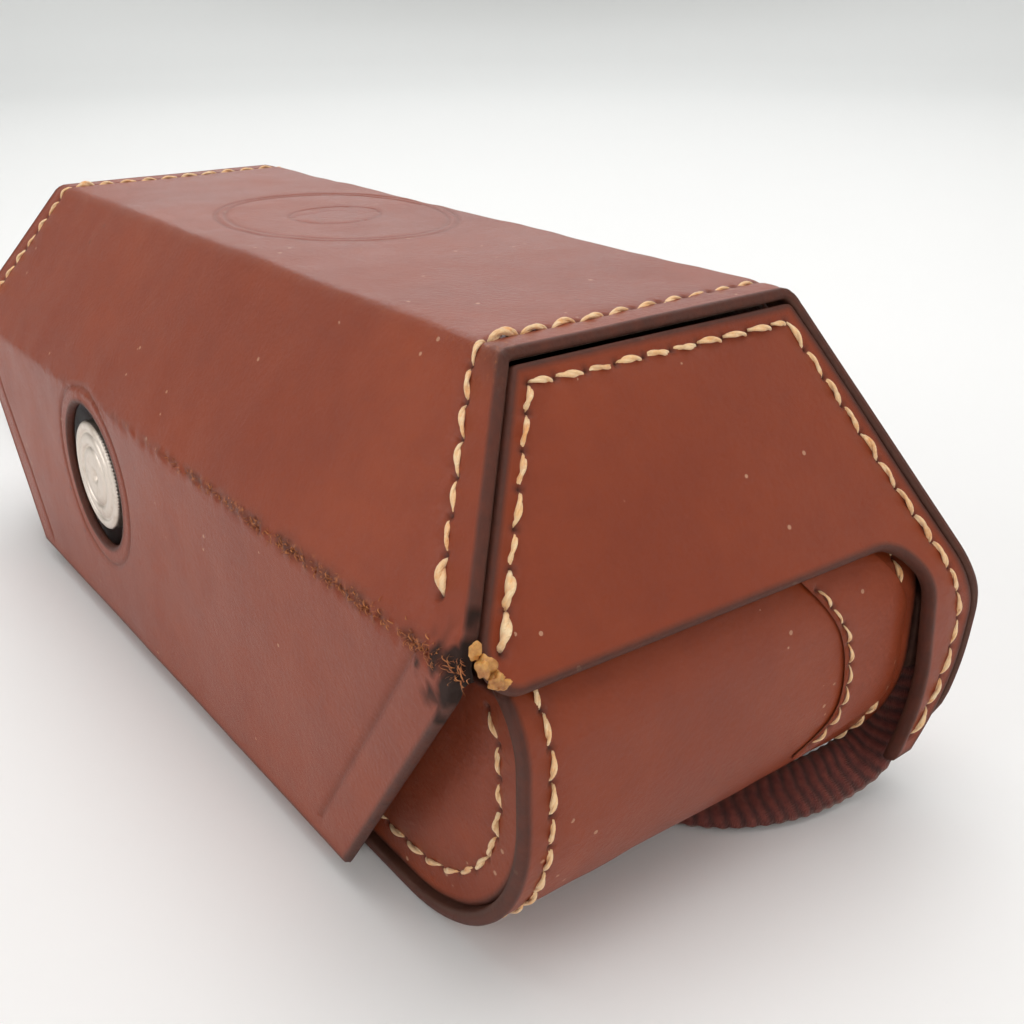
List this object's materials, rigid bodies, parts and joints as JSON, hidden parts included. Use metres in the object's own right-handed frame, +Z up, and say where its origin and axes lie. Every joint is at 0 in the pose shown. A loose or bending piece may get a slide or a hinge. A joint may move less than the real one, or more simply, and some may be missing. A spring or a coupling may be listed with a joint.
{
  "type": "cased cine camera",
  "caption": "Leather ever-ready case with folding cover, tripod knob and neck strap, holding a compact clockwork cine camera with lens, key, dials and film spools.",
  "frame": {"origin": "on the table under the middle of the closed case, which lies on its back", "axes": "+X along the case towards the lens end, -Y the side with the tripod knob, +Z up through the cover"},
  "size_m": [0.2946, 0.119, 0.0711],
  "materials": {
    "leather": "waxed red-brown saddle leather, worn at the folds",
    "pile_lining": "short crimson pile",
    "nickel": "satin nickel plate, lightly worn",
    "camera_enamel": "black crackle enamel",
    "brass": "brushed brass",
    "steel": "blued and brushed steel",
    "black_metal": "matt black",
    "dial_white": "matt off-white",
    "lens_glass": "coated optical glass",
    "film": "wound film, satin edge",
    "woven_strap": "ribbed dark brown weave"
  },
  "bodies": {
    "case": {"case_band": "leather", "case_side_panel_lower": "leather", "case_side_panel_upper": "leather", "case_lining": "pile_lining", "hinge_strip": "leather", "screw_washer": "nickel", "strap_keeper_near": "leather", "strap_keeper_far": "leather", "strap_tabs": "leather", "strap_rivets": "nickel", "snap_stud": "nickel", "camera_shell": "camera_enamel", "film_door": "camera_enamel", "mechanism_plate": "brass", "tripod_bush": "brass", "footage_window": "lens_glass", "exposure_plate": "brass", "body_screws": "nickel", "viewfinder_tube": "camera_enamel", "finder_lenses": "lens_glass", "lens_barrel": "camera_enamel", "front_element": "lens_glass", "rear_element": "lens_glass", "fixed_arbors": "steel", "release_spring": "steel", "film_gate": "steel", "strap_near_run": "woven_strap", "strap_far_run": "woven_strap", "strap_coil": "woven_strap"},
    "flap": {"cover_flap": "leather", "leather_folds": "leather"},
    "cover": {"cover_wrap": "leather", "cover_end_panel_near": "leather", "cover_end_panel_far": "leather", "cover_lining": "pile_lining", "snap_cap": "nickel"},
    "knob": {"tripod_knob": "nickel", "tripod_screw": "nickel"},
    "key": {"winding_arbor": "steel", "ratchet_wheel": "brass", "key_hub": "nickel", "key_pin": "nickel"},
    "key_handle": {"key_handle": "nickel"},
    "speed_dial": {"speed_dial": "camera_enamel"},
    "release_button": {"release_button": "nickel"},
    "footage_dial": {"footage_dial": "dial_white"},
    "door_latch": {"door_latch": "nickel"},
    "spring_barrel": {"mainspring_barrel": "brass", "mainspring": "steel"},
    "idler": {"idler_gear": "brass"},
    "governor": {"governor": "brass"},
    "shutter": {"shutter_disc": "black_metal"},
    "supply_spool": {"supply_spool": "black_metal", "supply_film": "film"},
    "takeup_spool": {"takeup_spool": "black_metal", "takeup_film": "film"},
    "pressure_plate": {"pressure_plate": "steel"},
    "film_claw": {"film_claw": "steel"},
    "focus_ring": {"focus_ring": "nickel"},
    "aperture_ring": {"aperture_ring": "nickel"}
  },
  "joints": [
    {"name": "flap_fold", "type": "hinge", "parent": "case", "child": "flap", "pos_m": [0, -0.039, 0.0034], "axis": [1, 0, 0], "range_deg": [0, 39]},
    {"name": "cover_hinge", "type": "hinge", "parent": "flap", "child": "cover", "pos_m": [0, -0.039, 0.0443], "axis": [1, 0, 0], "range_deg": [0, 115]},
    {"name": "knob_turn", "type": "hinge", "parent": "case", "child": "knob", "pos_m": [-0.021, -0.036, 0.0305], "axis": [0, -1, 0], "continuous": true},
    {"name": "key_turn", "type": "hinge", "parent": "case", "child": "key", "pos_m": [-0.035, -0.001, 0.049], "axis": [0, 0, 1], "continuous": true},
    {"name": "key_fold", "type": "hinge", "parent": "key", "child": "key_handle", "pos_m": [-0.035, -0.001, 0.052], "axis": [0, 1, 0], "range_deg": [0, 90]},
    {"name": "speed_turn", "type": "hinge", "parent": "case", "child": "speed_dial", "pos_m": [0.048, -0.014, 0.049], "axis": [0, 0, 1], "range_deg": [0, 150]},
    {"name": "release_press", "type": "slide", "parent": "case", "child": "release_button", "axis": [0, 0, -1], "range_m": [0, 0.002], "stiffness_N_per_m": 300, "springref_m": -0.001, "deforming": ["release_spring"]},
    {"name": "footage_turn", "type": "hinge", "parent": "case", "child": "footage_dial", "pos_m": [-0.01, -0.017, 0.0447], "axis": [0, 0, 1], "continuous": true},
    {"name": "latch_turn", "type": "hinge", "parent": "case", "child": "door_latch", "pos_m": [0.03, 0.012, 0.009], "axis": [0, 0, 1], "range_deg": [0, 90]},
    {"name": "barrel_turn", "type": "hinge", "parent": "case", "child": "spring_barrel", "pos_m": [-0.035, -0.001, 0.036], "axis": [0, 0, 1], "continuous": true},
    {"name": "idler_turn", "type": "hinge", "parent": "case", "child": "idler", "pos_m": [-0.01, -0.001, 0.038], "axis": [0, 0, 1], "continuous": true},
    {"name": "governor_turn", "type": "hinge", "parent": "case", "child": "governor", "pos_m": [0.01, -0.001, 0.038], "axis": [0, 0, 1], "continuous": true},
    {"name": "shutter_turn", "type": "hinge", "parent": "case", "child": "shutter", "pos_m": [0.0577, -0.0065, 0.0205], "axis": [1, 0, 0], "continuous": true},
    {"name": "supply_turn", "type": "hinge", "parent": "case", "child": "supply_spool", "pos_m": [-0.035, -0.001, 0.02], "axis": [0, 0, 1], "continuous": true},
    {"name": "takeup_turn", "type": "hinge", "parent": "case", "child": "takeup_spool", "pos_m": [0.015, -0.001, 0.02], "axis": [0, 0, 1], "continuous": true},
    {"name": "plate_lift", "type": "slide", "parent": "case", "child": "pressure_plate", "axis": [-1, 0, 0], "range_m": [0, 0.001], "stiffness_N_per_m": 200, "springref_m": -0.0005},
    {"name": "claw_stroke", "type": "slide", "parent": "case", "child": "film_claw", "axis": [0, 1, 0], "range_m": [0, 0.0038]},
    {"name": "focus_turn", "type": "hinge", "parent": "case", "child": "focus_ring", "pos_m": [0.069, 0, 0.0205], "axis": [1, 0, 0], "range_deg": [0, 270]},
    {"name": "aperture_turn", "type": "hinge", "parent": "case", "child": "aperture_ring", "pos_m": [0.076, 0, 0.0205], "axis": [1, 0, 0], "range_deg": [0, 120]}
  ],
  "couplings": [
    {"joint": "flap_fold", "follows": "cover_hinge", "ratio": 0.3},
    {"joint": "idler_turn", "follows": "barrel_turn", "ratio": -4},
    {"joint": "governor_turn", "follows": "barrel_turn", "ratio": 16},
    {"joint": "shutter_turn", "follows": "barrel_turn", "ratio": 16},
    {"joint": "footage_turn", "follows": "barrel_turn", "ratio": -0.1},
    {"joint": "supply_turn", "follows": "barrel_turn", "ratio": 2},
    {"joint": "takeup_turn", "follows": "barrel_turn", "ratio": 3}
  ]
}
